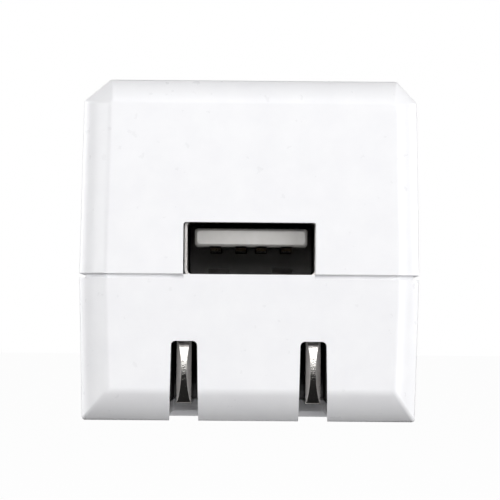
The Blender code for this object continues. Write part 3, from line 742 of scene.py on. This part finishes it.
def make_materials():
    """One finish for each material slot of the record."""
    return {
        "white_case": surface(
            "white_polycarbonate", (0.84, 0.84, 0.86), (0.87, 0.87, 0.885), 3.0, (0.27, 0.34), 1.2,
            bumps=((0.5, 0.0008), (0.12, 0.0004)), Specular_IOR_Level=0.5,
        ),
        "tongue_plastic": surface(
            "tongue_lcp", (0.48, 0.47, 0.455), (0.54, 0.53, 0.515), 1.5, (0.4, 0.55), 0.6,
            # painted shade: the tongue's colour darkens towards its back, where the port is in shade
            bumps=((0.25, 0.004),), inside=(TONGUE[0].y + 0.6, TONGUE[0].y + 2.5, 0.45),
        ),
        "black_plastic": surface(
            "black_pbt", (0.010, 0.010, 0.011), (0.018, 0.018, 0.019), 1.5, (0.45, 0.6), 0.5,
            bumps=((0.2, 0.004),),
        ),
        "nickel_plate": surface(
            "nickel", (0.48, 0.46, 0.44), (0.60, 0.58, 0.56), 1.2, (0.08, 0.16), 0.25,
            bumps=((0.12, 0.02), (0.4, 0.02)), metallic=1.0,
        ),
        "usb_steel": surface(
            "tinned_steel", (0.62, 0.60, 0.58), (0.72, 0.70, 0.68), 1.0, (0.3, 0.45), 0.4,
            bumps=((0.1, 0.002),), metallic=1.0, stretch=(1, 6, 1),
            # painted shade: the steel's colour darkens just behind the port's mouth, where the bore is in shade
            inside=(USB[0].y + 0.1, USB[0].y + 0.5, 0.45),
        ),
        "spring_steel": surface(
            "spring_steel", (0.45, 0.45, 0.45), (0.55, 0.55, 0.54), 1.0, (0.2, 0.35), 0.4,
            bumps=((0.1, 0.002),), metallic=1.0, stretch=(1, 6, 1),
        ),
        "contact_bronze": surface(
            "phosphor_bronze", (0.55, 0.34, 0.16), (0.66, 0.44, 0.22), 1.0, (0.22, 0.4), 0.4,
            bumps=((0.1, 0.002),), metallic=1.0,
        ),
        # painted shade: the gold contacts are coloured near black, standing in for the shade they sit in deep in
        # the port
        "contact_gold": surface(
            "shade_darkened_gold", (0.012, 0.009, 0.006), (0.02, 0.015, 0.009), 0.6, (0.18, 0.3), 0.3,
            bumps=((0.08, 0.001),), metallic=1.0,
        ),
        "board": surface(
            "solder_mask", (0.02, 0.11, 0.035), (0.03, 0.15, 0.05), 2.0, (0.25, 0.4), 0.8,
            bumps=((0.3, 0.01),),
        ),
        "ferrite": surface(
            "ferrite", (0.035, 0.035, 0.038), (0.06, 0.06, 0.064), 0.8, (0.5, 0.7), 0.3,
            bumps=((0.15, 0.01),),
        ),
        "bobbin_plastic": surface(
            "phenolic", (0.02, 0.016, 0.012), (0.035, 0.028, 0.02), 1.0, (0.4, 0.6), 0.4,
            bumps=((0.2, 0.005),),
        ),
        "winding_tape": surface(
            "polyester_tape", (0.62, 0.46, 0.05), (0.74, 0.58, 0.09), 1.5, (0.2, 0.35), 0.6,
            bumps=((0.6, 0.02),),
        ),
        "capacitor_sleeve": surface(
            "shrink_sleeve", (0.015, 0.02, 0.06), (0.025, 0.03, 0.08), 2.0, (0.2, 0.35), 0.8,
            bumps=((0.8, 0.01),),
        ),
        "disc_coating": surface(
            "dipped_epoxy", (0.05, 0.15, 0.42), (0.08, 0.2, 0.5), 1.0, (0.25, 0.45), 0.5,
            bumps=((0.7, 0.03),),
        ),
        "resistor_coating": surface(
            "flameproof_coating", (0.16, 0.33, 0.24), (0.22, 0.4, 0.3), 0.8, (0.4, 0.6), 0.3,
            bumps=((0.3, 0.01),),
        ),
        "chip_epoxy": surface(
            "moulded_epoxy", (0.015, 0.015, 0.016), (0.028, 0.028, 0.03), 0.6, (0.5, 0.65), 0.2,
            bumps=((0.1, 0.004),),
        ),
    }


def dress_frame(looks, replaced):
    """Gives every CAD node that still shows its finish and a softened edge."""
    slots = {part["node"]: part["material_slot"] for part in frame["record"]["subparts"]}
    for node, obj in frame["nodes"].items():
        if node in replaced:
            continue
        obj.data.materials.clear()
        obj.data.materials.append(looks[slots[node]])
        bevel = obj.modifiers.new("softened_edges", "BEVEL")
        bevel.width = 0.06 * MM
        bevel.segments = 2
        bevel.limit_method = "ANGLE"
        bevel.angle_limit = math.radians(40)
        bevel.harden_normals = False


# ---------------------------------------------------------------- studio

# The camera, the floor and the glowing patch on it
EYE = Vector((0.05, FRONT - 450.0, 8.5))
AIM = Vector((0.05, FRONT, 16.8))
FRAME_WIDTH = 49.0
ROLL = 0.45
FLOOR_DROP = 19.0
PATCH_Y = 5.0
PATCH_RADIUS = 14.0
PATCH_GLOW = 0.9


def make_camera():
    """A long lens a little below the middle of the case, square to its front."""
    data = bpy.data.cameras.new("camera")
    data.sensor_width = 36.0
    data.lens = data.sensor_width * (AIM - EYE).length / FRAME_WIDTH
    data.clip_start = 0.01
    data.clip_end = 50.0
    camera = bpy.data.objects.new("camera", data)
    bpy.context.scene.collection.objects.link(camera)
    turn = (AIM - EYE).to_track_quat("-Z", "Y").to_matrix().to_4x4()
    camera.location = EYE * MM
    camera.rotation_euler = turn.to_euler()
    camera.rotation_euler.rotate_axis("Z", math.radians(ROLL))
    bpy.context.scene.camera = camera


def make_softbox(name, azimuth, elevation, distance, size, power, mirrored=True):
    """A flat area light aimed at the middle of the case. Azimuth 0 is the USB side."""
    data = bpy.data.lights.new(name, "AREA")
    data.shape = "RECTANGLE"
    data.size = size[0]
    data.size_y = size[1]
    data.energy = power
    light = bpy.data.objects.new(name, data)
    bpy.context.scene.collection.objects.link(light)
    a, e = math.radians(azimuth), math.radians(elevation)
    away = Vector((math.sin(a) * math.cos(e), -math.cos(a) * math.cos(e), math.sin(e)))
    middle = Vector((0, 0, HEIGHT / 2 * MM))
    light.location = middle + away * distance
    light.rotation_euler = (-away).to_track_quat("-Z", "Y").to_euler()
    light.visible_glossy = mirrored


def make_floor():
    """A pale floor just below the blades' reach, with a glowing patch under the charger."""
    mesh = bpy.data.meshes.new("floor")
    bm = bmesh.new()
    bmesh.ops.create_circle(bm, cap_ends=True, segments=64, radius=6.0)
    bm.to_mesh(mesh)
    bm.free()
    floor = bpy.data.objects.new("floor", mesh)
    bpy.context.scene.collection.objects.link(floor)
    floor.location.z = -FLOOR_DROP * MM
    made = bpy.data.materials.new("pale_floor")
    made.use_nodes = True
    tree = made.node_tree
    shader = tree.nodes["Principled BSDF"]
    shader.inputs["Base Color"].default_value = (0.03, 0.03, 0.03, 1)
    shader.inputs["Roughness"].default_value = 1.0
    shader.inputs["Specular IOR Level"].default_value = 0.0
    shader.inputs["Emission Color"].default_value = (1, 1, 1, 1)
    where = node_of(tree, "ShaderNodeTexCoord")
    away = node_of(tree, "ShaderNodeVectorMath", operation="DISTANCE")
    away.inputs[1].default_value = (0, PATCH_Y * MM, 0)
    tree.links.new(where.outputs["Object"], away.inputs[0])
    patch = spread(tree, away.outputs["Value"], PATCH_GLOW, 0.0, (0.8 * PATCH_RADIUS * MM, PATCH_RADIUS * MM))
    seen = node_of(tree, "ShaderNodeLightPath")
    glow = spread(tree, seen.outputs["Is Camera Ray"], 0.0, 0.97, (0.0, 1.0))
    tree.links.new(patch, glow.node.inputs["To Min"])
    tree.links.new(glow, shader.inputs["Emission Strength"])
    mesh.materials.append(made)
    floor.visible_shadow = False


def make_world():
    """White where the camera looks at it, and for light a sky that is dim below the horizon."""
    world = bpy.data.worlds.new("studio")
    bpy.context.scene.world = world
    world.use_nodes = True
    tree = world.node_tree
    tree.nodes.clear()
    out = node_of(tree, "ShaderNodeOutputWorld")
    seen = node_of(tree, "ShaderNodeLightPath")
    white = node_of(tree, "ShaderNodeBackground", Strength=1.0)
    white.inputs["Color"].default_value = (1, 1, 1, 1)
    sky = node_of(tree, "ShaderNodeBackground", Strength=0.20)
    where = node_of(tree, "ShaderNodeTexCoord")
    split = node_of(tree, "ShaderNodeSeparateXYZ")
    tree.links.new(where.outputs["Generated"], split.inputs["Vector"])
    height = spread(tree, split.outputs["Z"], 0.0, 1.0, (-0.15, 0.4))
    tree.links.new(blend_colours(tree, height, (0.02, 0.02, 0.02), (1, 1, 1)), sky.inputs["Color"])
    either = node_of(tree, "ShaderNodeMixShader")
    tree.links.new(seen.outputs["Is Camera Ray"], either.inputs[0])
    tree.links.new(sky.outputs[0], either.inputs[1])
    tree.links.new(white.outputs[0], either.inputs[2])
    tree.links.new(either.outputs[0], out.inputs["Surface"])


def make_studio():
    """The camera, floor and world, with a large softbox for each side of the case that shows."""
    make_camera()
    make_floor()
    make_world()
    make_softbox("key_left", -60, 4, 0.9, (0.6, 0.6), 5.2)
    make_softbox("key_right", 60, 4, 0.9, (0.6, 0.6), 6.9)
    make_softbox("above", 0, 62, 0.9, (0.6, 0.4), 1.1)
    make_softbox("front", 0, 20, 0.9, (0.6, 0.4), 2.6)
    make_softbox("side_left", -120, 4, 0.9, (0.5, 0.5), 3.2)
    make_softbox("side_right", 120, 4, 0.9, (0.5, 0.5), 2.2)
    make_softbox("below", 0, -30, 0.9, (0.6, 0.3), 0.8, mirrored=False)
    bpy.context.scene.view_settings.view_transform = "Standard"


# ---------------------------------------------------------------- assembly


def main():
    make_studio()
    looks = make_materials()
    make_upper_case(looks["white_case"])
    make_lower_case(looks["white_case"])
    make_usb_shell(looks["usb_steel"])
    make_tongue(looks["tongue_plastic"])
    make_blade(-1, "prong_left", "blade_left", looks["nickel_plate"])
    make_blade(1, "prong_right", "blade_right", looks["nickel_plate"])
    replaced = {"upper_shell", "lower_shell", "usb_shell", "usb_tongue", "blade_left", "blade_right"}
    dress_frame(looks, replaced)


main()
